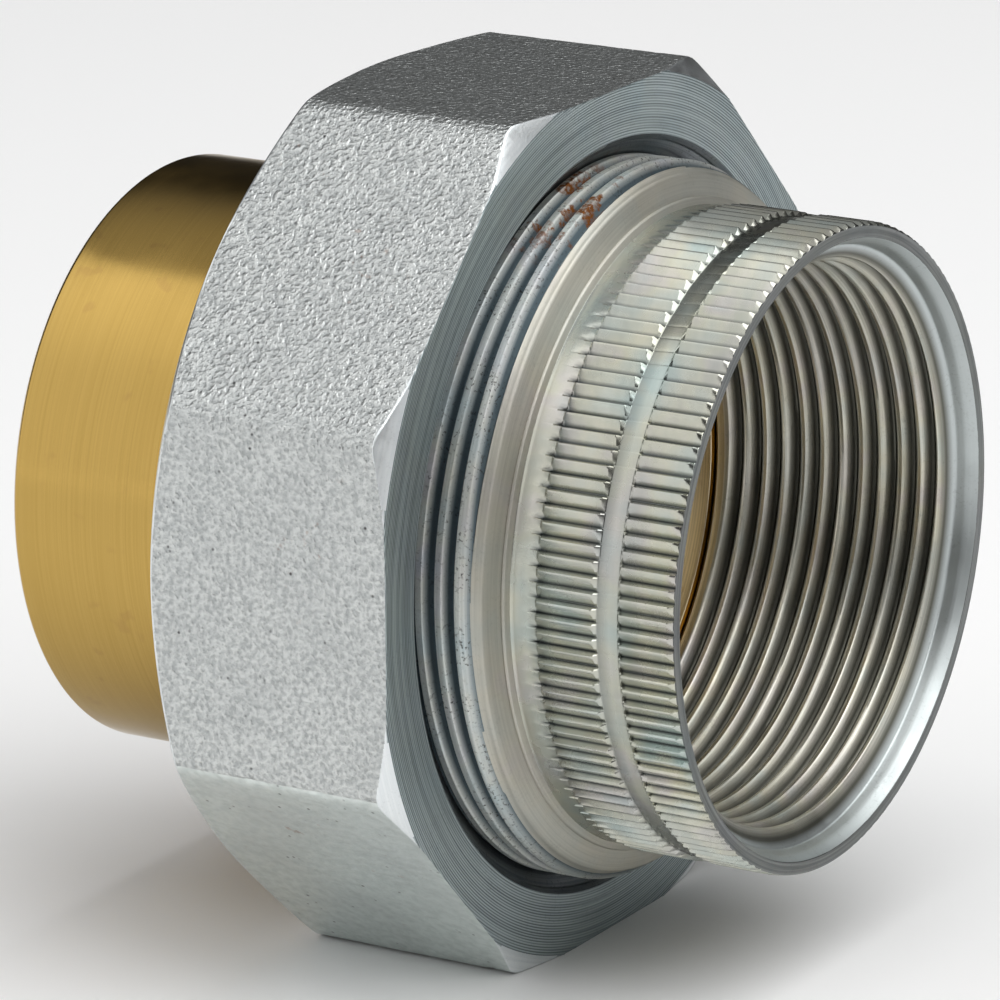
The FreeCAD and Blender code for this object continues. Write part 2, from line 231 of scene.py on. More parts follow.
@dataclass
class Skin:
    """Points and faces of one closed piece, gathered band by band round the waterway's axis.

    A band is a ring of outlines, one for each angle. Neighbouring outlines may have different numbers of
    points, so a helical thread keeps crisp edges that run in and out at the band's ends.
    """

    name: str
    points: list[np.ndarray] = field(default_factory=list)
    faces: list[tuple[int, ...]] = field(default_factory=list)
    count: int = 0

    def band(self, angles: Sequence[float], outline: Callable[[float], Path]) -> tuple[Ring, Ring]:
        """Adds one outline for each angle and joins each to the next.

        Args:
            angles: Angles in rising order, within one turn.
            outline: Gives the stations and radii at an angle. Its first and last points are open rims.

        Returns:
            The band's first and last rims.
        """
        columns = []
        for angle in angles:
            path = outline(float(angle))
            across = -path[:, 1] * math.sin(angle)
            up = path[:, 1] * math.cos(angle)
            self.points.append(np.column_stack((path[:, 0], across, up)))
            columns.append((self.count, path.tolist()))
            self.count += len(path)
        for (start, left), (next_start, right) in zip(columns, columns[1:] + columns[:1]):
            self._zip(start, left, next_start, right)
        spread = [float(angle) for angle in angles]
        first = Ring([start for start, _ in columns], spread)
        last = Ring([start + len(path) - 1 for start, path in columns], spread)
        return first, last

    def _zip(self, start: int, left: list, next_start: int, right: list) -> None:
        """Joins two neighbouring outlines, matching the points that lie closest.

        Args:
            start: Number of the left outline's first point.
            left: The left outline.
            next_start: Number of the right outline's first point.
            right: The right outline.
        """
        here, there = 0, 0
        while here < len(left) - 1 or there < len(right) - 1:
            if here == len(left) - 1:
                step = (0, 1)
            elif there == len(right) - 1:
                step = (1, 0)
            else:
                both = math.dist(left[here + 1], right[there + 1])
                one = math.dist(left[here + 1], right[there])
                other = math.dist(left[here], right[there + 1])
                step = (1, 1) if both <= min(one, other) else (1, 0) if one < other else (0, 1)
            corner = [start + here, start + here + step[0], next_start + there + step[1], next_start + there]
            self.faces.append(tuple(dict.fromkeys(corner)))
            here += step[0]
            there += step[1]

    def stitch(self, first: Ring, second: Ring) -> None:
        """Joins two rims, which may have different numbers of points.

        Args:
            first: One rim.
            second: The other rim.
        """
        counts = len(first.points), len(second.points)
        here, there = 0, 0
        while here < counts[0] or there < counts[1]:
            turn_here = first.angles[(here + 1) % counts[0]] + TURN * ((here + 1) // counts[0])
            turn_there = second.angles[(there + 1) % counts[1]] + TURN * ((there + 1) // counts[1])
            near, far = first.points[here % counts[0]], second.points[there % counts[1]]
            if there == counts[1] or (here < counts[0] and turn_here <= turn_there):
                self.faces.append((near, first.points[(here + 1) % counts[0]], far))
                here += 1
            else:
                self.faces.append((near, second.points[(there + 1) % counts[1]], far))
                there += 1

    def to_object(self, sharp_degrees: float = 35.0) -> bpy.types.Object:
        """Makes the mesh, in metres, with smooth shading up to an edge angle.

        Args:
            sharp_degrees: Edges that turn by more than this stay sharp.

        Returns:
            The new object, linked to the scene.
        """
        mesh = bpy.data.meshes.new(self.name)
        mesh.from_pydata((np.concatenate(self.points) * MM).tolist(), [], self.faces)
        work = bmesh.new()
        work.from_mesh(mesh)
        bmesh.ops.recalc_face_normals(work, faces=work.faces)
        work.to_mesh(mesh)
        work.free()
        mesh.polygons.foreach_set("use_smooth", [True] * len(mesh.polygons))
        mesh.set_sharp_from_angle(angle=math.radians(sharp_degrees))
        mesh.update()
        made = bpy.data.objects.new(self.name, mesh)
        bpy.context.scene.collection.objects.link(made)
        return made


def paint(piece: bpy.types.Object, materials: Sequence[bpy.types.Material],
          choose: Callable[[np.ndarray, np.ndarray, np.ndarray], np.ndarray]) -> None:
    """Gives each face of a piece one of several materials by where it lies.

    Args:
        piece: The object to paint.
        materials: The materials, in the order that choose counts them.
        choose: Takes the faces' stations, radii and angles, in mm and radians, and returns material numbers.
    """
    for material in materials:
        piece.data.materials.append(material)
    centres = np.zeros(len(piece.data.polygons) * 3)
    piece.data.polygons.foreach_get("center", centres)
    centres = centres.reshape(-1, 3) / MM
    radii = np.hypot(centres[:, 1], centres[:, 2])
    angles = np.mod(np.arctan2(-centres[:, 1], centres[:, 2]), TURN)
    chosen = choose(centres[:, 0], radii, angles).astype(np.int32)
    piece.data.polygons.foreach_set("material_index", chosen)
    piece.data.update()


@dataclass(frozen=True)
class VeeThread:
    """A right-hand vee thread round the waterway.

    Attributes:
        side: Outside of a wall or inside a bore.
        root: Radius of the groove's bottom at the zero station, in mm.
        phase: Station of one groove's centre straight above the axis, in mm.
        depth: Depth of the groove, in mm.
        first: Lowest station of a groove's centre.
        last: Highest station of a groove's centre.
        taper: Rise of the root for each mm of station.
        zero: Station where root is measured.
        root_flat: Half width of the rounded bottom, in mm.
        ease: Rounding where flank meets crest, in mm.
    """

    side: Side
    root: float
    phase: float
    depth: float
    first: float
    last: float
    taper: float = 0.0
    zero: float = 0.0
    root_flat: float = 0.06
    ease: float = 0.07

    def centres(self, angle: float) -> np.ndarray:
        """Stations of the groove's turns at an angle.

        Args:
            angle: Turn from straight up, in radians.

        Returns:
            The stations, rising, in mm.
        """
        start = self.phase + PITCH * angle / TURN
        low = math.ceil((self.first - start) / PITCH)
        high = math.floor((self.last - start) / PITCH)
        return start + PITCH * np.arange(low, high + 1)

    def marks(self, angle: float) -> np.ndarray:
        """Stations worth a point at an angle: each groove's bottom, flanks and edges.

        Args:
            angle: Turn from straight up, in radians.

        Returns:
            The stations, in mm.
        """
        half = self.depth / COT_FLANK
        offsets = [0, self.root_flat, half * 0.35, half * 0.7]
        offsets += [half - 0.09, half - 0.03, half + 0.03, half + 0.1]
        offsets = np.array(sorted({sign * offset for offset in offsets for sign in (1, -1)}))
        return (self.centres(angle)[:, None] + offsets[None]).ravel()

    def cut(self, stations: np.ndarray, radii: np.ndarray, angle: float) -> np.ndarray:
        """Cuts the groove into a wall.

        Args:
            stations: Where the wall is known.
            radii: The plain wall's radii there.
            angle: Turn from straight up, in radians.

        Returns:
            The cut wall's radii.
        """
        centres = self.centres(angle)
        if not len(centres):
            return radii
        reach = np.abs(stations[:, None] - centres[None])
        nearest = reach.min(axis=1)
        centre = centres[reach.argmin(axis=1)]
        height = np.hypot(nearest, self.root_flat) * COT_FLANK - self.root_flat * 0.6
        fade = ramp_between(centre, self.first, self.first + 0.25 * PITCH)
        fade = fade * (1 - ramp_between(centre, self.last - 0.2 * PITCH, self.last))
        height = height + (1 - fade) * self.depth
        root = self.root + self.taper * (stations - self.zero)
        sign = self.side.value
        return sign * soft_least(sign * radii, sign * root + height, self.ease)


def threaded_path(plain: Path, thread: VeeThread, angle: float) -> Path:
    """A plain outline with a thread cut into it at one angle.

    Args:
        plain: The outline before cutting, with rising stations.
        thread: The thread to cut.
        angle: Turn from straight up, in radians.

    Returns:
        The outline with the thread's points, its ends as they were.
    """
    marks = thread.marks(angle)
    marks = marks[(marks > plain[0, 0] + 0.02) & (marks < plain[-1, 0] - 0.02)]
    stations = np.unique(np.round(np.concatenate((plain[:, 0], marks)), 4))
    keep = np.concatenate(([True], np.diff(stations) > 0.012))
    stations = stations[keep]
    stations[-1] = plain[-1, 0]
    radii = thread.cut(stations, np.interp(stations, plain[:, 0], plain[:, 1]), angle)
    radii[0], radii[-1] = plain[0, 1], plain[-1, 1]
    return np.column_stack((stations, radii))


class Wiring:
    """Adds and links the nodes of one material."""

    def __init__(self, name: str) -> None:
        """Starts a material with one Principled shader.

        Args:
            name: The material's name.
        """
        self.material = bpy.data.materials.new(name)
        self.material.use_nodes = True
        self.nodes = self.material.node_tree.nodes
        self.links = self.material.node_tree.links
        self.nodes.clear()
        self.shader = self.nodes.new("ShaderNodeBsdfPrincipled")
        output = self.nodes.new("ShaderNodeOutputMaterial")
        self.links.new(self.shader.outputs[0], output.inputs["Surface"])
        self.place = self.nodes.new("ShaderNodeTexCoord").outputs["Object"]
        split = self.nodes.new("ShaderNodeSeparateXYZ")
        self.feed(split.inputs[0], self.place)
        self.station, across, up = (self.times(output, 1 / MM) for output in split.outputs)
        squares = self.maths("ADD", self.maths("POWER", across, 2), self.maths("POWER", up, 2))
        self.radius = self.maths("SQRT", squares)
        self.sine = self.maths("DIVIDE", across, self.radius)
        self.cosine = self.maths("DIVIDE", up, self.radius)

    def feed(self, socket: Socket, value: Socket | float | Sequence[float]) -> None:
        """Links a socket to another, or sets it to a value.

        Args:
            socket: The input to feed.
            value: An output, or a setting.
        """
        if isinstance(value, bpy.types.NodeSocket):
            self.links.new(value, socket)
        elif socket.type == "RGBA" and len(value) == 3:
            socket.default_value = (*value, 1.0)
        else:
            socket.default_value = value

    def node(self, kind: str, inputs: dict[int | str, Socket | float | Colour], output: int = 0,
             **settings: str) -> Socket:
        """Adds one node.

        Args:
            kind: The node's type, without its prefix.
            inputs: What each input is linked or set to.
            output: Number of the output to return.
            settings: The node's own properties.

        Returns:
            The chosen output.
        """
        made = self.nodes.new("ShaderNode" + kind)
        for key, setting in settings.items():
            setattr(made, key, setting)
        for key, value in inputs.items():
            self.feed(made.inputs[key], value)
        return made.outputs[output]

    def maths(self, operation: str, first: Socket | float, second: Socket | float = 0.0) -> Socket:
        """A Math node's result."""
        return self.node("Math", {0: first, 1: second}, operation=operation)

    def times(self, first: Socket | float, second: Socket | float) -> Socket:
        """Two values multiplied."""
        return self.maths("MULTIPLY", first, second)

    def spread(self, value: Socket, low: float, high: float, to_low: float = 0.0,
               to_high: float = 1.0) -> Socket:
        """A value taken from one range to another, held at the ends."""
        return self.node("MapRange", {0: value, 1: low, 2: high, 3: to_low, 4: to_high})

    def lumps(self, scale: float, detail: float = 2.0, rough: float = 0.5) -> Socket:
        """Noise in space, 0 to 1, with so many lumps to the metre."""
        return self.node("TexNoise", {
            "Vector": self.place, "Scale": scale, "Detail": detail, "Roughness": rough})

    def tool_marks(self, per_mm: float, break_up: float = 1.5, detail: float = 3.0) -> Socket:
        """Noise drawn out into rings round the waterway, as a lathe tool leaves, 0 to 1.

        Args:
            per_mm: Marks to each millimetre.
            break_up: How much a mark changes on its way round.
            detail: Layers of finer marks.

        Returns:
            The marks' height.
        """
        place = {
            0: self.times(self.station, per_mm),
            1: self.times(self.radius, per_mm),
            2: self.times(self.cosine, break_up),
        }
        return self.node("TexNoise", {
            "Vector": self.node("CombineXYZ", place), "W": self.times(self.sine, break_up),
            "Scale": 1.0, "Detail": detail, "Roughness": 0.6}, noise_dimensions="4D")

    def pits(self, scale: float) -> Socket:
        """Distance to the nearest of many scattered points, 0 at each."""
        return self.node("TexVoronoi", {"Vector": self.place, "Scale": scale})

    def tones(self, value: Socket, stops: Sequence[tuple[float, Colour]]) -> Socket:
        """A colour ramp.

        Args:
            value: Where on the ramp to read, 0 to 1.
            stops: Places and colours, rising.

        Returns:
            The colour.
        """
        node = self.nodes.new("ShaderNodeValToRGB")
        ramp = node.color_ramp
        while len(ramp.elements) < len(stops):
            ramp.elements.new(0.5)
        for element, (position, colour) in zip(ramp.elements, stops):
            element.position = position
            element.color = (*colour, 1.0)
        self.feed(node.inputs[0], value)
        return node.outputs[0]

    def blend(self, share: Socket | float, first: Socket | Colour, second: Socket | Colour,
              mode: str = "MIX") -> Socket:
        """Two colours mixed by a share."""
        return self.node("Mix", {0: share, 6: first, 7: second}, 2, data_type="RGBA", blend_type=mode)

    def bump(self, height: Socket, depth_mm: float, strength: float = 1.0,
             under: Socket | None = None) -> Socket:
        """A normal shaped by a height.

        Args:
            height: Height, 0 to 1.
            depth_mm: What a height of 1 stands for, in mm.
            strength: Share of the effect.
            under: A normal to add it to.

        Returns:
            The new normal.
        """
        inputs = {"Strength": strength, "Distance": depth_mm * MM, "Height": height}
        if under is not None:
            inputs["Normal"] = under
        return self.node("Bump", inputs)

    def finish(self, colour: Socket | Colour, rough: Socket | float, normal: Socket | None = None,
               metal: float = 1.0) -> bpy.types.Material:
        """Feeds the shader and returns the finished material.

        Args:
            colour: Base colour.
            rough: Roughness.
            normal: Shaped normal, if any.
            metal: 1 for metal, 0 for plastic, rubber or a floor.

        Returns:
            The material.
        """
        settings = {"Base Color": colour, "Roughness": rough, "Metallic": metal, "Normal": normal}
        for name, value in settings.items():
            if value is not None:
                self.feed(self.shader.inputs[name], value)
        return self.material


@dataclass(frozen=True)
class ForgedZinc:
    """Zinc plate over forged flats: a fine pebble with greyer patches, painted shade in the pebble's hollows
    and in scattered pits, and a little rust.
    """

    pale: Colour = (0.64, 0.66, 0.65)
    hollow_shade: Colour = (0.42, 0.44, 0.44)
    patch: Colour = (0.48, 0.50, 0.50)
    pit_shade: Colour = (0.07, 0.07, 0.07)
    rust: Colour = (0.25, 0.11, 0.05)
    pebble_size: float = 0.50
    pebble_depth: float = 0.42

    def make(self, name: str) -> bpy.types.Material:
        """Builds the material.

        Args:
            name: The material's name.

        Returns:
            The material.
        """
        wiring = Wiring(name)
        pebble = wiring.lumps(1000 / self.pebble_size, 2.0, 0.55)
        coarse = wiring.lumps(1000 / (self.pebble_size * 2.6), 1.0)
        height = wiring.maths("ADD", wiring.times(pebble, 0.75), wiring.times(coarse, 0.25))
        patches = wiring.lumps(90, 3.0)
        # Painted shade: the pebble's hollows are coloured darker than its tops.
        base = wiring.blend(wiring.spread(pebble, 0.35, 0.62), self.hollow_shade, self.pale)
        base = wiring.blend(wiring.spread(patches, 0.4, 0.75, 0.0, 0.35), base, self.patch)
        # Painted shade: dark dots stand in for the shade inside scattered pits.
        pits = wiring.spread(wiring.pits(700), 0.04, 0.16, 1.0, 0.0)
        pit_shade_share = wiring.times(pits, wiring.spread(wiring.lumps(300, 1.0), 0.52, 0.62))
        base = wiring.blend(pit_shade_share, base, self.pit_shade)
        flecks = wiring.spread(wiring.lumps(700, 3.0), 0.66, 0.74)
        areas = wiring.spread(wiring.lumps(45, 2.0), 0.55, 0.68, 0.0, 0.8)
        stain = wiring.times(flecks, areas)
        base = wiring.blend(stain, base, self.rust)
        rough = wiring.spread(pebble, 0.3, 0.7, 0.42, 0.30)
        normal = wiring.bump(height, self.pebble_depth, 0.9)
        return wiring.finish(base, rough, normal)


@dataclass(frozen=True)
class GrooveShade:
    """Painted shade in a thread's groove: the plating's colour turns darker with depth, where shade falls.

    Attributes:
        crest: Radius where the plain colour ends, in mm.
        root: Radius where the dark colour is full, in mm.
        tone: The painted shade colour.
        taper: Rise of both radii for each mm of station.
    """

    crest: float
    root: float
    tone: Colour
    taper: float = 0.0


@dataclass(frozen=True)
class EndTone:
    """Where a surface changes colour towards one end.

    Attributes:
        start: Station where the change begins, in mm.
        stop: Station where it is complete, in mm.
        tone: The colour beyond it.
    """

    start: float
    stop: float
    tone: Colour


@dataclass(frozen=True)
class TurnedZinc:
    """Zinc plate over turned steel, with rings from the tool and a thin coloured passivation.

    Attributes:
        pale: Colour of the clean plate.
        shade: Painted shade colour in the hollows of the tool marks.
        tint_share: How much of the yellow, green and pink passivation shows.
        marks_per_mm: Tool marks to each mm.
        mark_depth: Depth of the marks, in mm.
        rough: Lowest and highest roughness.
        specks: Share of dark specks.
        rust: Share of rust.
        grit_depth: Depth of the fine granular plating, in mm.
        ring_pitch: Distance between regular rings on a face, in mm; 0 leaves them out.
        rust_at: Turn from straight up of the middle of the rusted part, in degrees.
        groove: Where painted shade darkens a thread's groove, if there is one.
        end: Where the colour changes towards one end, if it does.
    """

    pale: Colour
    shade: Colour
    tint_share: float = 0.25
    marks_per_mm: float = 4.0
    mark_depth: float = 0.02
    rough: tuple[float, float] = (0.24, 0.40)
    specks: float = 0.0
    rust: float = 0.0
    grit_depth: float = 0.0
    ring_pitch: float = 0.0
    rust_at: float = 0.0
    groove: GrooveShade | None = None
    end: EndTone | None = None

    def make(self, name: str) -> bpy.types.Material:
        """Builds the material.

        Args:
            name: The material's name.

        Returns:
            The material.
        """
        wiring = Wiring(name)
        marks = wiring.tool_marks(self.marks_per_mm)
        if self.ring_pitch:
            wave = wiring.maths("SINE", wiring.times(wiring.radius, TURN / self.ring_pitch))
            strength = wiring.spread(wiring.lumps(45, 2.0), 0.35, 0.6, 0.05, 0.22)
            marks = wiring.maths("ADD", wiring.times(marks, 0.6), 0.2)
            marks = wiring.maths("ADD", marks, wiring.times(wave, strength))
        # Painted shade: the low parts of the marks, and of the face rings where there are any, take the shade
        # colour.
        base = wiring.blend(wiring.spread(marks, 0.32, 0.62), self.shade, self.pale)
        tints = wiring.tones(wiring.lumps(140, 2.0, 0.6), PASSIVATION)
        share = wiring.spread(wiring.lumps(60, 3.0), 0.35, 0.7, 0.2 * self.tint_share, self.tint_share)
        base = wiring.blend(share, base, tints, "SOFT_LIGHT" if self.tint_share < 0.3 else "OVERLAY")
        # Painted shade: the colour darkens towards the root of each groove.
        if self.groove:
            rise = wiring.times(wiring.station, self.groove.taper)
            level = wiring.maths("SUBTRACT", wiring.radius, rise)
            depth = wiring.spread(level, self.groove.crest, self.groove.root)
            base = wiring.blend(depth, base, self.groove.tone)
        if self.end:
            beyond = wiring.spread(wiring.station, self.end.start, self.end.stop)
            base = wiring.blend(beyond, base, self.end.tone)
        if self.specks:
            dots = wiring.spread(wiring.lumps(2600, 2.0, 0.7), 0.56, 0.66)
            where = wiring.spread(wiring.lumps(260, 2.0), 0.42, 0.62, 0.15, 1.0)
            share = wiring.times(wiring.times(dots, where), self.specks)
            base = wiring.blend(share, base, SPECK)
        if self.rust:
            middle = math.radians(self.rust_at)
            level = wiring.times(wiring.cosine, math.cos(middle))
            near = wiring.maths("SUBTRACT", level, wiring.times(wiring.sine, math.sin(middle)))
            near = wiring.spread(near, 0.955, 0.99)
            patch = wiring.spread(wiring.lumps(300, 4.0, 0.65), 0.52, 0.57)
            fleck = wiring.spread(wiring.lumps(1500, 3.0, 0.7), 0.42, 0.56, 0.35, 1.0)
            share = wiring.times(wiring.times(patch, fleck), self.rust)
            share = wiring.times(share, near)
            base = wiring.blend(share, base, RUST)
        sheen = wiring.maths("ADD", marks, wiring.lumps(320, 3.0))
        rough = wiring.spread(sheen, 0.7, 1.3, self.rough[1], self.rough[0])
        normal = wiring.bump(marks, self.mark_depth, 0.8)
        if self.grit_depth:
            normal = wiring.bump(wiring.lumps(3000, 2.0, 0.6), self.grit_depth, 0.8, normal)
        return wiring.finish(base, rough, normal)


@dataclass(frozen=True)
class TurnedBrass:
    """Satin turned brass with fine rings, slow stains and darker film."""

    pale: Colour = (0.52, 0.345, 0.10)
    deep: Colour = (0.46, 0.30, 0.08)
    spot: Colour = (0.40, 0.24, 0.08)
    marks_per_mm: float = 9.0
    mark_depth: float = 0.002
    rough: tuple[float, float] = (0.16, 0.24)

    def make(self, name: str) -> bpy.types.Material:
        """Builds the material.

        Args:
            name: The material's name.

        Returns:
            The material.
        """
        wiring = Wiring(name)
        marks = wiring.tool_marks(self.marks_per_mm, 0.8)
        base = wiring.blend(wiring.spread(marks, 0.3, 0.6), self.deep, self.pale)
        film = wiring.spread(wiring.lumps(70, 4.0, 0.6), 0.5, 0.72, 0.0, 0.35)
        base = wiring.blend(film, base, self.deep)
        spots = wiring.spread(wiring.lumps(330, 2.0), 0.66, 0.72, 0.0, 0.35)
        base = wiring.blend(spots, base, self.spot)
        rough = wiring.spread(wiring.lumps(180, 4.0), 0.3, 0.7, self.rough[0], self.rough[1])
        normal = wiring.bump(marks, self.mark_depth, 0.8)
        return wiring.finish(base, rough, normal)


@dataclass(frozen=True)
class Moulding:
    """A moulded plastic or rubber with a fine matt grain."""

    colour: Colour
    worn: Colour
    rough: float = 0.5
    grain_depth: float = 0.02

    def make(self, name: str) -> bpy.types.Material:
        """Builds the material.

        Args:
            name: The material's name.

        Returns:
            The material.
        """
        wiring = Wiring(name)
        base = wiring.blend(wiring.spread(wiring.lumps(240, 4.0), 0.35, 0.7), self.colour, self.worn)
        rough = wiring.spread(wiring.lumps(600, 3.0), 0.3, 0.7, self.rough - 0.08, self.rough + 0.08)
        normal = wiring.bump(wiring.lumps(2400, 2.0), self.grain_depth, 0.6)
        return wiring.finish(base, rough, normal, metal=0.0)


def extent(node: str) -> tuple[np.ndarray, np.ndarray]:
    """A CAD node's lowest and highest corners, in mm."""
    low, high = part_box(node)
    return np.array(low) / MM, np.array(high) / MM


@dataclass
class SteelBody:
    """The female half: union thread, turned ring, serrated collar and tapered pipe thread."""

    recess_depth: float = 7.55
    recess_radius: float = 31.4
    lip_radius: float = 27.4
    thread_root: float = 35.1
    thread_reach: float = 3.9
    thread_end: float = 4.85
    ring_back: float = 5.55
    ring_foot: float = 6.3
    ring_radius: float = 33.12
    ring_end: float = 7.0
    port_root: float = 29.75
    port_depth: float = 1.45
    throat_radius: float = 28.25
    throat_reach: float = 3.36
    mouth_radius: float = 31.15
    mouth_depth: float = 2.2
    land_drop: float = 0.95
    teeth: int = 132
    tooth_root: float = 32.0
    land_radius: float = 32.25
    crest_radius: float = 32.7
    collar_back: float = 7.05
    teeth_back: float = 9.85
    teeth_front: float = 24.5
    band_back: float = 16.55
    band_front: float = 18.95
    band_radii: tuple[float, float] = (32.13, 32.36)
    face_edge: float = 32.3
    steep_flank: float = 2.4
    broad_flank: float = 0.62
    worn_at: float = math.radians(172)
    worn_width: tuple[float, float] = (math.radians(10), math.radians(25))
    columns: int = 420

    def __post_init__(self) -> None:
        """Reads the ends and the thread's crest from the frame."""
        low, high = extent("steel_body")
        self.back, self.front = low[0], high[0]
        self.nut_face = extent("union_nut")[1][0]
        self.thread_crest = high[2]
        self.seat = self.back + self.recess_depth
        self.union_thread = VeeThread(
            Side.OUTSIDE, self.thread_root, self.at(UNION_GROOVE), self.thread_crest - self.thread_root,
            self.back - PITCH, self.at(self.thread_end))
        self.pipe_thread = VeeThread(
            Side.BORE, self.port_root, self.seat + 1.0, self.port_depth, self.seat + 1.0,
            self.front + PITCH, taper=PIPE_TAPER, zero=self.front, root_flat=0.2, ease=0.45)

    def at(self, reach: float) -> float:
        """A station measured from the nut's front face."""
        return self.nut_face + reach

    def outer_thread_outline(self, angle: float) -> Path:
        """From the recess mouth, over the union thread and down the cone to the collar.

        Args:
            angle: Turn from straight up, in radians.

        Returns:
            Stations and radii along it, in mm.
        """
        foot = self.at(self.ring_foot)
        corners = [
            Corner(self.back, self.recess_radius + 0.5),
            Corner(self.back, self.thread_crest - 0.5, 0.1),
            Corner(self.back + 0.5, self.thread_crest, 0.1),
            Corner(self.at(self.thread_reach), self.thread_crest, 0.3),
            Corner(self.at(self.thread_reach + 1.0), self.thread_crest - self.land_drop, 0.4),
            Corner(self.at(self.ring_back), self.thread_crest - self.land_drop - 0.08, 0.35),
            Corner(foot, self.ring_radius, 0.08),
            Corner(foot + 0.08, self.ring_radius - 0.2, 0.03),
            Corner(foot + 0.16, self.ring_radius - 0.1, 0.05),
            Corner(foot + 0.42, self.ring_radius - 0.2, 0.08),
            Corner(self.at(self.ring_end) - 0.02, self.land_radius + 0.02, 0.08),
        ]
        wobble = 0.02 * grain(0, 36, angle, 9.0, 3.0)
        plain = filled_path(rounded_path(corners), 0.5)
        rise = plain[3:]
        cut = threaded_path(rise, self.union_thread, angle)
        cut[1:-1, 1] += wobble + np.array([
            0.012 * grain(station, radius, angle, 0.8, 1.0) for station, radius in cut[1:-1]])
        return np.vstack((plain[:3], cut))

    def wear(self, angle: float) -> float:
        """How far the teeth are rubbed away at an angle, 0 to 1: one side has been dragged flat.

        Args:
            angle: Turn from straight up, in radians.

        Returns:
            The share that is rubbed away.
        """
        away = abs((angle - self.worn_at + math.pi) % TURN - math.pi)
        ragged = 0.05 * grain(0, 30, angle, 4.0, 7.0)
        return float(1 - ramp_between(away + ragged, *self.worn_width))

    def tooth_outline(self, angle: float) -> Path:
        """Over the land, the two toothed bands and the band between them, to the front chamfer.

        Args:
            angle: Turn from straight up, in radians.

        Returns:
            Stations and radii along it, in mm.
        """
        pitch = TURN / self.teeth
        number = math.floor(angle / pitch + 1e-6)
        along = (angle - number * pitch) * self.crest_radius
        tooth = pitch * self.crest_radius
        rise = min(max(along, 0.0) * self.steep_flank, max(tooth - along, 0.0) * self.broad_flank)
        shift = 0.16 * grain(number * 1.7, 0, 0, 1.0, 5.0)
        wear = self.wear(angle)
        crest = self.crest_radius - 0.18 * wear
        teeth_back, band_back = self.at(self.teeth_back) + shift, self.at(self.band_back) + shift
        band_front = self.at(self.band_front)
        corners = [
            Corner(self.at(self.collar_back), self.land_radius, 0.03),
            Corner(teeth_back, self.land_radius + 0.02, 0.1),
            Corner(teeth_back + 0.27, crest, 0.1),
            Corner(band_back - 0.45, crest, 0.12),
            Corner(band_back, self.band_radii[0], 0.08),
            Corner(band_front, self.band_radii[1], 0.06),
            Corner(band_front + 0.25, crest, 0.1),
            Corner(self.at(self.teeth_front), crest, 0.15),
            Corner(self.front - 0.06, self.face_edge + 0.12, 0.08),
            Corner(self.front, self.face_edge, 0.03),
        ]
        path = filled_path(rounded_path(corners, 3), 0.75)
        stations, radii = path[:, 0], path[:, 1]
        root = self.tooth_root + 0.04 * grain(number * 2.3, 0, 0, 1.0, 9.0)
        start = teeth_back - 1.5
        root = root - 0.06 * (1 - ramp_between(stations, self.at(9.8), self.at(10.8)))
        root = root + 0.42 * (1 - np.clip((stations - start) / (teeth_back + 0.05 - shift - start), 0, 1))
        root = root + 0.5 * wear * ramp_between(stations, self.at(8.3), self.at(12))
        band = ramp_between(stations, band_back - 0.25, band_back + 0.05)
        band = band * (1 - ramp_between(stations, band_front - 0.1, band_front + 0.15))
        root = np.where(band > 0, np.maximum(root, radii * band + root * (1 - band) - 0.035), root)
        groove = root + math.hypot(rise, 0.03)
        cut = soft_least(radii, groove, 0.04)
        cut[0], cut[-1] = radii[0], radii[-1]
        return np.column_stack((stations, cut))

    def port_outline(self, angle: float) -> Path:
        """From the front face, down the port's mouth and thread to the seat and the recess.

        Args:
            angle: Turn from straight up, in radians.

        Returns:
            Stations and radii along it, in mm.
        """
        rings = np.arange(self.mouth_radius + 1.0, self.mouth_radius + 0.05, -0.13)
        face = [(self.front - 0.02 * (number % 2), radius) for number, radius in enumerate(rings)]
        corners = [
            Corner(self.seat, self.recess_radius),
            Corner(self.seat, self.lip_radius + 0.5, 0.1),
            Corner(self.seat + 0.5, self.lip_radius, 0.1),
            Corner(self.front - self.throat_reach, self.throat_radius, 0.1),
            Corner(self.front - self.mouth_depth, 30.22, 0.15),
            Corner(self.front - 1.0, 30.52, 0.4),
            Corner(self.front - 0.06, 31.08, 0.08),
            Corner(self.front, self.mouth_radius, 0.05),
        ]
        plain = filled_path(rounded_path(corners), 0.5)
        cut = threaded_path(plain[5:], self.pipe_thread, angle)
        inner = np.vstack((plain[:5], cut))[::-1]
        recess = rounded_path([
            Corner(self.seat, self.recess_radius - 0.05),
            Corner(self.seat, self.recess_radius, 0.02),
            Corner(self.back + 0.5, self.recess_radius, 0.1),
            Corner(self.back + 0.1, self.recess_radius + 0.4),
        ])
        return np.vstack((np.array(face), inner[:-1], recess[1:]))

    def build(self) -> bpy.types.Object:
        """Makes the skin of the steel body.

        Returns:
            The new object.
        """
        skin = Skin("steel_body_skin")
        first, ring = skin.band(even_angles(self.columns), self.outer_thread_outline)
        shoulder, chamfer = skin.band(self.tooth_angles(), self.tooth_outline)
        face, recess = skin.band(even_angles(self.columns), self.port_outline)
        skin.stitch(ring, shoulder)
        skin.stitch(chamfer, face)
        skin.stitch(recess, first)
        return skin.to_object(24)

    def tooth_angles(self) -> list[float]:
        """Angles of the collar's columns, close together at each groove and crest.

        Returns:
            The angles, rising, in radians.
        """
        steps = [0.0, 0.05, 0.17, 0.27, 0.32, 0.44, 0.52, 0.85, 1.20, 1.50]
        starts = np.arange(self.teeth) * TURN / self.teeth
        return sorted(float(start + step / self.crest_radius) % TURN for start in starts for step in steps)

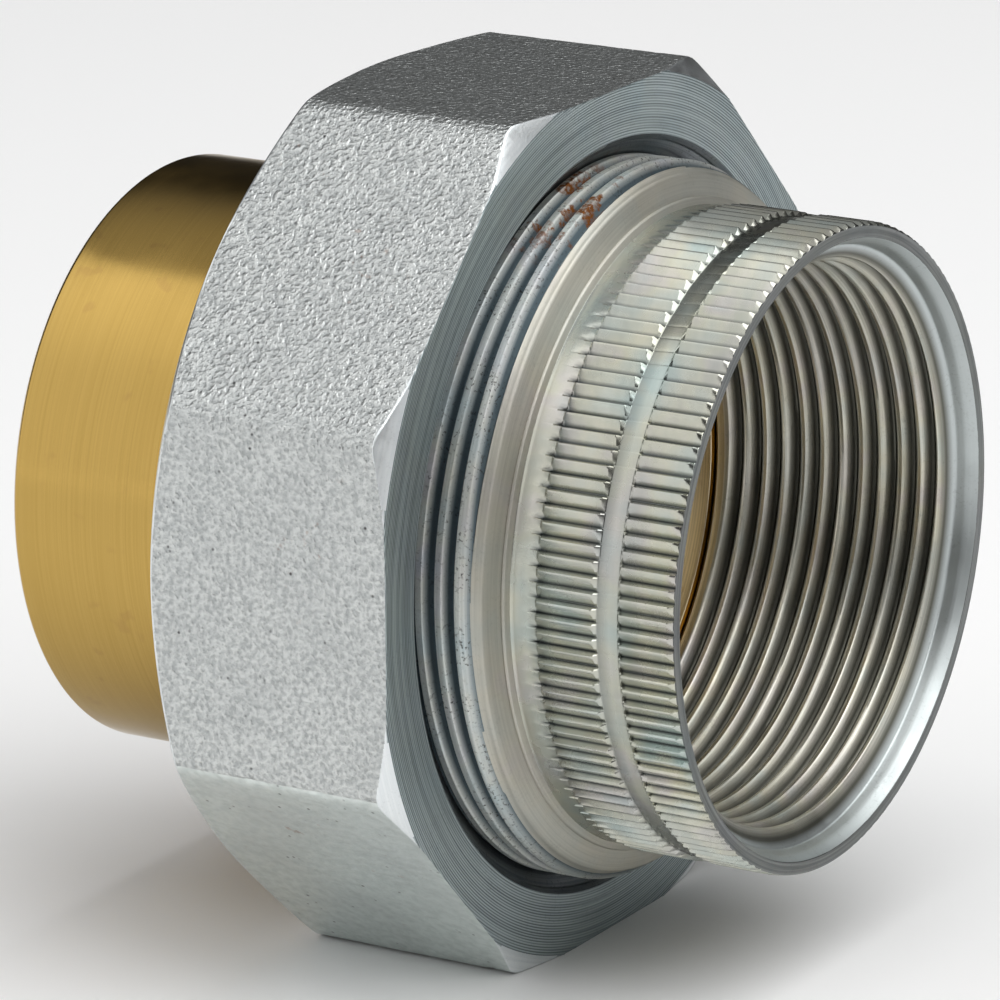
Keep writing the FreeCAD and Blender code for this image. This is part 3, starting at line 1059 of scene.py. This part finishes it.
    def dress(self, piece: bpy.types.Object) -> None:
        """Paints the thread, ring, teeth, face and port.

        Args:
            piece: The object to dress.
        """
        port_zero = self.throat_radius - (self.front - self.throat_reach) * PIPE_TAPER
        # Painted shade: the union thread, teeth and pipe thread are coloured darker towards their roots.
        thread_groove_shade = GrooveShade(self.thread_crest - 0.12, self.thread_crest - 0.75, (0.13, 0.17, 0.19))
        tooth_groove_shade = GrooveShade(self.tooth_root + 0.26, self.tooth_root + 0.02, (0.10, 0.11, 0.11))
        port_groove_shade = GrooveShade(port_zero + 0.25, port_zero + 0.95, (0.13, 0.13, 0.11), PIPE_TAPER)
        port_land = EndTone(self.front - 2.75, self.front - 2.35, (0.52, 0.56, 0.56))
        materials = [
            TurnedZinc((0.66, 0.69, 0.68), (0.46, 0.49, 0.50), 0.35, marks_per_mm=3.0, mark_depth=0.008,
                       rough=(0.46, 0.58), specks=0.8, rust=1.0, grit_depth=0.02, rust_at=15,
                       groove=thread_groove_shade).make("thread_zinc"),
            TurnedZinc((0.50, 0.49, 0.44), (0.43, 0.42, 0.38), 0.25, marks_per_mm=5.0, mark_depth=0.006,
                       rough=(0.48, 0.58), specks=0.1, grit_depth=0.008).make("turned_ring_zinc"),
            TurnedZinc((0.50, 0.51, 0.47), (0.42, 0.44, 0.41), 0.32, marks_per_mm=0.3, mark_depth=0.002,
                       rough=(0.20, 0.32), groove=tooth_groove_shade).make("serrated_zinc"),
            TurnedZinc((0.19, 0.20, 0.20), (0.08, 0.09, 0.09), 0.2, marks_per_mm=4.0, mark_depth=0.02,
                       rough=(0.30, 0.42), specks=0.2, grit_depth=0.005).make("port_face_zinc"),
            TurnedZinc((0.60, 0.59, 0.53), (0.40, 0.40, 0.36), 0.3, marks_per_mm=5.0, mark_depth=0.012,
                       rough=(0.36, 0.50), specks=0.15, grit_depth=0.004, groove=port_groove_shade,
                       end=port_land).make("pipe_thread_zinc"),
            TurnedZinc((0.62, 0.55, 0.40), (0.38, 0.33, 0.23), 0.2, marks_per_mm=7.0, mark_depth=0.010,
                       rough=(0.30, 0.42), specks=0.1, grit_depth=0.004).make("stained_lip_zinc"),
        ]
        thread_stop, ring_stop, lip_stop = self.at(4.6), self.at(self.ring_end), self.seat + 1.0

        def choose(station: np.ndarray, radius: np.ndarray, angle: np.ndarray) -> np.ndarray:
            """Material numbers by place.

            Args:
                station: The faces' stations, in mm.
                radius: Their radii, in mm.
                angle: Their turns from straight up, in radians; not used here.

            Returns:
                A material number for each face.
            """
            inside = radius < self.mouth_radius + 0.15
            outer = np.where(station < thread_stop, 0, np.where(station < ring_stop, 1, 2))
            outer = np.where(station > self.front - 0.05, 3, outer)
            inner = np.where(station > lip_stop, 4, 5)
            inner = np.where(station > self.front - 0.04, 3, inner)
            return np.where(inside, inner, outer)

        paint(piece, materials, choose)
        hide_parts("steel_body")
        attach(piece, "female_half")


@dataclass
class UnionNut:
    """The octagon nut: forged flats, turned faces, inner lip and straight thread."""

    face_radius: float = 44.7
    back_radius: float = 43.45
    face_slope: float = math.tan(math.radians(30))
    back_slope: float = math.tan(math.radians(34))
    mouth_radius: float = 38.0
    crest_radius: float = 35.7
    chamber_radius: float = 37.45
    lip_bore: float = 32.1
    lip_thickness: float = 7.8
    face_grooves: int = 22
    groove_depth: float = 0.035
    thread_root: float = 37.35
    thread_depth: float = 1.65
    # These flats are smoother, and painted paler than the others: painted light on the lower flat that faces
    # the floor.
    satin_lightened_sides: tuple[int, int] = (3, 7)
    columns: int = 420

    def __post_init__(self) -> None:
        """Reads the nut's ends and width from the frame."""
        low, high = extent("union_nut")
        self.back, self.front = low[0], high[0]
        self.half_flats = high[2]
        body_back = extent("steel_body")[0][0]
        self.thread = VeeThread(
            Side.BORE, self.thread_root, self.front + UNION_GROOVE + PITCH / 2, self.thread_depth,
            body_back - 1.6, self.front - 0.6, root_flat=0.07, ease=0.08)

    def flat_radius(self, angle: float) -> float:
        """Radius of the octagon at an angle, its corners rounded as forging leaves them.

        Args:
            angle: Turn from straight up, in radians.

        Returns:
            The radius, in mm.
        """
        turn = off_flat(angle)
        away = (OCTANT / 2 - abs(turn)) * self.half_flats
        return self.half_flats / math.cos(turn) - 0.32 * math.exp(-away / 0.5)

    def forged_height(self, station: float, angle: float) -> float:
        """How far the forged surface stands out at a place, with its waves and the nicks along its corners.

        Args:
            station: Place along the waterway, in mm.
            angle: Turn from straight up, in radians.

        Returns:
            The height, in mm, less than nothing where it is nicked.
        """
        radius = self.half_flats
        waves = 0.05 * grain(station, radius, angle, 7.0) + 0.025 * grain(station, radius, angle, 2.2, 4.0)
        away = (OCTANT / 2 - abs(off_flat(angle))) * radius
        nicks = max(0.0, grain(station, radius, angle, 1.1, 8.0) - 0.25) * math.exp(-away / 0.8)
        return 0.03 + waves - 0.35 * nicks

    def outer_outline(self, angle: float) -> Path:
        """From the mouth, across the grooved face, over the flats and down the back.

        Args:
            angle: Turn from straight up, in radians.

        Returns:
            Stations and radii along it, in mm.
        """
        out = self.flat_radius(angle)
        rim = min(out, self.face_radius)
        grooves = []
        pitch = (self.half_flats - self.mouth_radius - 0.7) / self.face_grooves
        for number in range(self.face_grooves * 2 + 4):
            radius = self.mouth_radius + 0.75 + number * pitch / 2
            depth = self.groove_depth if number % 2 else 0.0
            if radius < rim - 0.35:
                grooves.append((self.front - depth, radius))
        corners = [Corner(self.front, grooves[-1][1] + 0.05)]
        if out > self.face_radius + 0.02:
            drop = (out - self.face_radius) * self.face_slope
            corners.append(Corner(self.front, self.face_radius, 0.12))
            corners.append(Corner(self.front - drop, out, 0.25))
        else:
            corners.append(Corner(self.front, rim, 0.22))
        if out > self.back_radius + 0.02:
            drop = (out - self.back_radius) * self.back_slope
            corners.append(Corner(self.back + drop, out, 0.4))
        corners.append(Corner(self.back, min(out, self.back_radius), 0.3))
        corners.append(Corner(self.back, self.lip_bore + 0.6))
        path = filled_path(rounded_path(corners), 0.45)
        flat = path[:, 1] > out - 0.02
        for index in np.flatnonzero(flat):
            path[index, 1] += self.forged_height(path[index, 0], angle) - 0.06
        path = filled_path(path, 1.2, along=1)
        return np.vstack((grooves, path[1:]))

    def inner_outline(self, angle: float) -> Path:
        """From the back of the lip, through the chamber and thread to the mouth.

        Args:
            angle: Turn from straight up, in radians.

        Returns:
            Stations and radii along it, in mm.
        """
        lip_front = self.back + self.lip_thickness
        lead = self.thread.first + 0.2
        corners = [
            Corner(self.back + 0.05, self.lip_bore + 0.5),
            Corner(self.back + 0.5, self.lip_bore, 0.15),
            Corner(lip_front, self.lip_bore, 0.1),
            Corner(lip_front + 0.02, self.chamber_radius, 0.1),
            Corner(lead, self.chamber_radius, 0.1),
            Corner(lead + 1.0, self.crest_radius, 0.1),
            Corner(self.front - 2.0, self.crest_radius, 0.1),
            Corner(self.front - 0.7, self.mouth_radius, 0.2),
            Corner(self.front - 0.45, self.mouth_radius + 0.02, 0.1),
            Corner(self.front - 0.01, self.mouth_radius + 0.5),
        ]
        return threaded_path(filled_path(rounded_path(corners), 1.0), self.thread, angle)

    def corner_angles(self) -> list[float]:
        """Angles of the outside's columns, close together at the eight corners.

        Returns:
            The angles, rising, in radians.
        """
        clear = 2.0 / self.half_flats
        angles = []
        for number in range(8):
            corner = (number + 0.5) * OCTANT
            angles.extend(corner + step * 1.6 / self.half_flats for step in np.linspace(-1, 1, 25))
            angles.extend(np.linspace(corner + clear, corner + OCTANT - clear, 66))
        return sorted(float(angle) % TURN for angle in angles)

    def build(self) -> bpy.types.Object:
        """Makes the skin of the nut.

        Returns:
            The new object.
        """
        skin = Skin("union_nut_skin")
        mouth, heel = skin.band(self.corner_angles(), self.outer_outline)
        lip, rim = skin.band(even_angles(self.columns), self.inner_outline)
        skin.stitch(heel, lip)
        skin.stitch(rim, mouth)
        return skin.to_object()

    def dress(self, piece: bpy.types.Object) -> None:
        """Paints the flats as forged and the faces, chamfers and bore as turned.

        Args:
            piece: The object to dress.
        """
        materials = [
            ForgedZinc().make("forged_flat_zinc"),
            TurnedZinc((0.42, 0.48, 0.49), (0.15, 0.18, 0.19), 0.1, marks_per_mm=4.0, mark_depth=0.03,
                       rough=(0.50, 0.60), specks=0.15, grit_depth=0.004,
                       ring_pitch=0.27).make("nut_face_zinc"),
            TurnedZinc((0.80, 0.83, 0.84), (0.66, 0.70, 0.72), 0.1, marks_per_mm=2.0, mark_depth=0.01,
                       rough=(0.30, 0.42), specks=0.1, grit_depth=0.012).make("nut_chamfer_zinc"),
            TurnedZinc((0.34, 0.37, 0.39), (0.16, 0.18, 0.20), 0.2, marks_per_mm=3.0, mark_depth=0.02,
                       rough=(0.32, 0.48), specks=0.5, rust=0.2, grit_depth=0.02).make("nut_bore_zinc"),
            # Painted light: the satin flats are painted paler than the forged flats, as well as smoother.
            ForgedZinc((0.74, 0.79, 0.77), (0.62, 0.67, 0.65), pebble_size=1.1,
                       pebble_depth=0.10).make("satin_lightened_flat_zinc"),
        ]

        def choose(station: np.ndarray, radius: np.ndarray, angle: np.ndarray) -> np.ndarray:
            """Material numbers by place.

            Args:
                station: The faces' stations, in mm.
                radius: Their radii, in mm.
                angle: Their turns from straight up, in radians.

            Returns:
                A material number for each face.
            """
            flat = radius * np.cos(off_flat(angle)) > self.half_flats - 0.5
            front_edge = self.front - (radius - self.face_radius) * self.face_slope
            front_cone = (radius > self.face_radius) & (station > front_edge - 0.12)
            back_edge = self.back + (radius - self.back_radius) * self.back_slope
            back_cone = (radius > self.back_radius) & (station < back_edge + 0.2)
            side = np.round(angle / OCTANT).astype(int) % 8
            kind = np.where(flat, np.where(np.isin(side, self.satin_lightened_sides), 4, 0), 2)
            kind = np.where(front_cone | back_cone, 2, kind)
            kind = np.where((station > self.front - 0.1) & (radius > self.mouth_radius + 0.3), 1, kind)
            kind = np.where((station < self.back + 0.1) & (radius < self.back_radius), 1, kind)
            bore = np.where(station < self.back + 0.1, 1, 3)
            return np.where(radius < self.mouth_radius + 0.3, bore, kind)

        paint(piece, materials, choose)
        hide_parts("union_nut")
        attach(piece, "nut")


@dataclass
class RoundPiece:
    """A piece whose skin is one closed outline taken round the waterway.

    Attributes:
        node: The CAD node that it stands for.
        columns: How many outlines go round it.
    """

    node: str = ""
    columns: int = 240

    def outline(self, angle: float) -> Path:
        """Once round the wall at an angle; each piece gives its own."""
        raise NotImplementedError

    def build(self) -> bpy.types.Object:
        """Makes the piece's skin.

        Returns:
            The new object.
        """
        skin = Skin(self.node + "_skin")
        first, last = skin.band(even_angles(self.columns), self.outline)
        skin.stitch(last, first)
        return skin.to_object()


@dataclass
class SolderTail(RoundPiece):
    """The brass half: solder cup, tube stop, flange, nose and pilot lip."""

    node: str = "solder_tail"
    columns: int = 360
    cup_radius: float = 27.05
    cup_depth: float = 34.0
    stop_radius: float = 25.6
    stop_front: float = 36.2
    waterway: float = 27.0
    tail_radius: float = 30.5
    flange_back: float = 34.9
    flange_front: float = 40.3
    nose_radius: float = 31.1
    nose_front: float = 46.2
    tip_gap: float = 0.08
    pilot_radius: float = 28.9

    def __post_init__(self) -> None:
        """Reads the tail's ends and its flange from the frame."""
        low, high = extent("solder_tail")
        self.mouth, self.tip = low[0], extent("gasket")[1][0] - self.tip_gap
        self.flange_radius = high[2]

    def outline(self, angle: float) -> Path:
        """Once round the wall, from the cup's mouth over the outside and back through the bore.

        Args:
            angle: Turn from straight up, in radians.

        Returns:
            Stations and radii along it, in mm.
        """
        wave = 0.012 * grain(0, 30, angle, 11.0)
        mouth = self.mouth
        cup_end = mouth + self.cup_depth
        flange_back, flange_front = mouth + self.flange_back, mouth + self.flange_front
        nose_front = mouth + self.nose_front
        corners = [
            Corner(mouth, self.tail_radius - 1.6),
            Corner(mouth, self.tail_radius - 0.45, 0.15),
            Corner(mouth + 0.45, self.tail_radius + wave, 0.25),
            Corner(flange_back, self.tail_radius + wave, 0.1),
            Corner(flange_back, self.flange_radius, 0.15),
            Corner(flange_front - 0.5, self.flange_radius, 0.15),
            Corner(flange_front, self.flange_radius - 0.5, 0.1),
            Corner(flange_front, self.nose_radius, 0.1),
            Corner(nose_front - 0.5, self.nose_radius, 0.15),
            Corner(nose_front, self.nose_radius - 0.5, 0.1),
            Corner(nose_front, self.pilot_radius, 0.1),
            Corner(self.tip, self.pilot_radius, 0.12),
            Corner(self.tip, self.waterway, 0.15),
            Corner(mouth + self.stop_front + 1.5, self.waterway, 0.6),
            Corner(mouth + self.stop_front, self.stop_radius, 0.3),
            Corner(cup_end, self.stop_radius, 0.2),
            Corner(cup_end, self.cup_radius, 0.15),
            Corner(mouth + 0.6, self.cup_radius, 0.2),
            Corner(mouth + 0.05, self.cup_radius + 0.55),
        ]
        return filled_path(rounded_path(corners), 2.0)

    def dress(self, piece: bpy.types.Object) -> None:
        """Paints the outside satin and the bore rougher and paler, with coarser marks; the bore's paler
        colour is painted light where little light reaches.

        Args:
            piece: The object to dress.
        """
        materials = [
            TurnedBrass().make("satin_brass"),
            # Painted light: the bore's brass is much paler than the outside, to stand in for light inside the
            # bore.
            TurnedBrass((0.78, 0.67, 0.46), (0.46, 0.39, 0.25), marks_per_mm=5.0, mark_depth=0.012,
                        rough=(0.30, 0.44)).make("lightened_bore_brass"),
        ]
        paint(piece, materials, lambda station, radius, angle: np.where(radius < self.cup_radius + 0.3, 1, 0))
        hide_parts("solder_tail")
        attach(piece, "tail")


@dataclass
class InsulatingSleeve(RoundPiece):
    """The plastic tube, flange and skirt that keep the steel nut off the brass."""

    node: str = "insulating_sleeve"
    inner: float = 30.6
    outer: float = 32.0
    skirt_inner: float = 34.1
    skirt_depth: float = 4.5
    flange_thickness: float = 1.7

    def __post_init__(self) -> None:
        """Reads the sleeve's ends and outside radius from the frame."""
        low, high = extent("insulating_sleeve")
        self.back, self.front = low[0], high[0]
        self.skirt_outer = high[2]
        self.flange_front = self.front - self.skirt_depth
        self.flange_back = self.flange_front - self.flange_thickness

    def outline(self, angle: float) -> Path:
        """Once round the moulding, with softened edges and a faint parting line.

        Args:
            angle: Turn from straight up, in radians.

        Returns:
            Stations and radii along it, in mm.
        """
        flash = 0.03 * math.exp(-((angle - math.pi) / 0.02) ** 2)
        corners = [
            Corner(self.back, (self.inner + self.outer) / 2),
            Corner(self.back, self.outer, 0.2),
            Corner(self.flange_back, self.outer + flash, 0.1),
            Corner(self.flange_back, self.skirt_outer, 0.25),
            Corner(self.front, self.skirt_outer, 0.2),
            Corner(self.front, self.skirt_inner, 0.2),
            Corner(self.flange_front, self.skirt_inner, 0.1),
            Corner(self.flange_front, self.inner, 0.2),
            Corner(self.back, self.inner, 0.2),
            Corner(self.back, (self.inner + self.outer) / 2 - 0.1),
        ]
        return filled_path(rounded_path(corners), 2.0)

    def dress(self, piece: bpy.types.Object) -> None:
        """Gives the sleeve its plastic.

        Args:
            piece: The object to dress.
        """
        plastic = Moulding((0.78, 0.75, 0.66), (0.62, 0.58, 0.50), 0.42, 0.01)
        piece.data.materials.append(plastic.make("sleeve_plastic"))
        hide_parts("insulating_sleeve")
        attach(piece, "sleeve")


@dataclass
class Gasket(RoundPiece):
    """The flat rubber ring between the brass nose and the steel seat."""

    node: str = "gasket"
    width: float = 2.0
    crown: float = 0.03

    def __post_init__(self) -> None:
        """Reads the ring's faces and outside radius from the frame."""
        low, high = extent("gasket")
        self.back, self.front = low[0], high[0]
        self.outer = high[2]
        self.inner = self.outer - self.width

    def outline(self, angle: float) -> Path:
        """Once round the ring, its edges rounded and its sides a little proud at the middle.

        Args:
            angle: Turn from straight up, in radians; not used.

        Returns:
            Stations and radii along it, in mm.
        """
        middle = (self.back + self.front) / 2
        corners = [
            Corner(self.back, (self.inner + self.outer) / 2),
            Corner(self.back, self.outer - self.crown, 0.25),
            Corner(middle, self.outer, 0.4),
            Corner(self.front, self.outer - self.crown, 0.25),
            Corner(self.front, self.inner + self.crown, 0.25),
            Corner(middle, self.inner, 0.4),
            Corner(self.back, self.inner + self.crown, 0.25),
            Corner(self.back, (self.inner + self.outer) / 2 - 0.1),
        ]
        return rounded_path(corners)

    def dress(self, piece: bpy.types.Object) -> None:
        """Gives the gasket its rubber.

        Args:
            piece: The object to dress.
        """
        rubber = Moulding((0.02, 0.02, 0.02), (0.05, 0.05, 0.05), 0.6)
        piece.data.materials.append(rubber.make("gasket_rubber"))
        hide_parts("gasket")
        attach(piece, "female_half")


@dataclass
class Viewpoint:
    """Where the camera stands, measured from the middle of the nut's front face."""

    azimuth: float = 30.93
    elevation: float = 16.38
    roll: float = -0.397
    distance: float = 706.5
    aside: float = -11.48
    above: float = 1.52
    lens: float = 253.4

    def place(self) -> None:
        """Makes the camera and looks through it."""
        turn, roll = math.radians(self.azimuth), math.radians(self.roll)
        back = direction(self.azimuth, self.elevation)
        level = Vector((math.cos(turn), math.sin(turn), 0))
        upright = back.cross(level)
        right = level * math.cos(roll) + upright * math.sin(roll)
        up = upright * math.cos(roll) - level * math.sin(roll)
        middle = Vector((extent("union_nut")[1][0], 0, 0))
        spot = (middle + back * self.distance + right * self.aside + up * self.above) * MM
        data = bpy.data.cameras.new("camera")
        data.lens = self.lens
        data.sensor_width = 36
        data.clip_start = 0.01
        data.clip_end = 50
        camera = bpy.data.objects.new("camera", data)
        camera.matrix_world = Matrix((
            (*right, 0), (*up, 0), (*back, 0), (*spot, 1))).transposed()
        bpy.context.scene.collection.objects.link(camera)
        bpy.context.scene.camera = camera


@dataclass(frozen=True)
class Softbox:
    """One square lamp aimed at the fitting."""

    name: str
    azimuth: float
    elevation: float
    distance: float
    side: float
    power: float

    def hang(self) -> None:
        """Makes the lamp."""
        back = direction(self.azimuth, self.elevation)
        data = bpy.data.lights.new(self.name, "AREA")
        data.shape = "SQUARE"
        data.size = self.side
        data.energy = self.power
        lamp = bpy.data.objects.new(self.name, data)
        lamp.location = back * self.distance
        lamp.rotation_mode = "QUATERNION"
        lamp.rotation_quaternion = back.to_track_quat("Z", "Y")
        bpy.context.scene.collection.objects.link(lamp)


@dataclass
class Studio:
    """A pale floor, a dim room and soft lamps at the sides."""

    floor_colour: Colour = (0.90, 0.90, 0.90)
    floor_reach: float = 8.0
    sky_light: float = 0.5
    horizon_light: float = 0.02
    lamps: tuple[Softbox, ...] = (
        Softbox("left_softbox", -44, 31, 1.25, 1.6, 8.2),
        Softbox("overhead_softbox", 95, 64, 1.5, 1.9, 25),
        Softbox("port_softbox", 60, 34, 1.3, 0.5, 1.0),
        Softbox("right_softbox", 108, 13, 1.2, 0.52, 1.3),
    )

    def set_up(self) -> None:
        """Makes the floor, the world and the lamps."""
        low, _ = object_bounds()
        mesh = bpy.data.meshes.new("floor")
        reach = self.floor_reach
        spots = ((-reach, -reach), (reach, -reach), (reach, reach), (-reach, reach))
        corners = [(x, y, low.z) for x, y in spots]
        mesh.from_pydata(corners, [], [(0, 1, 2, 3)])
        floor = bpy.data.objects.new("floor", mesh)
        bpy.context.scene.collection.objects.link(floor)
        wiring = Wiring("pale_floor")
        floor.data.materials.append(wiring.finish(self.floor_colour, 0.9, None, metal=0.0))
        floor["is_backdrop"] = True
        self.light_room()
        for lamp in self.lamps:
            lamp.hang()
        bpy.context.scene.view_settings.view_transform = "Standard"

    def light_room(self) -> None:
        """Makes a room that is dim at the horizon and soft and pale overhead."""
        world = bpy.data.worlds.new("room")
        world.use_nodes = True
        nodes, links = world.node_tree.nodes, world.node_tree.links
        place = nodes.new("ShaderNodeTexCoord")
        split = nodes.new("ShaderNodeSeparateXYZ")
        rise = nodes.new("ShaderNodeMapRange")
        rise.interpolation_type = "SMOOTHSTEP"
        levels = {"From Min": 0.50, "From Max": 0.95, "To Min": self.horizon_light, "To Max": self.sky_light}
        for name, level in levels.items():
            rise.inputs[name].default_value = level
        links.new(place.outputs["Generated"], split.inputs[0])
        links.new(split.outputs[2], rise.inputs["Value"])
        links.new(rise.outputs[0], nodes["Background"].inputs["Strength"])
        nodes["Background"].inputs["Color"].default_value = (1, 1, 1, 1)
        bpy.context.scene.world = world


def main() -> None:
    """Builds each piece in order, dresses it and sets up the studio."""
    logging.basicConfig(level=logging.INFO, format="%(name)s: %(message)s")
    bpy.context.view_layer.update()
    for part in (SteelBody(), Gasket(), InsulatingSleeve(), SolderTail(), UnionNut()):
        piece = part.build()
        part.dress(piece)
        log.info("%s: %d points, %d faces", piece.name, len(piece.data.vertices), len(piece.data.polygons))
    Studio().set_up()
    Viewpoint().place()


if __name__ == "__main__":
    main()
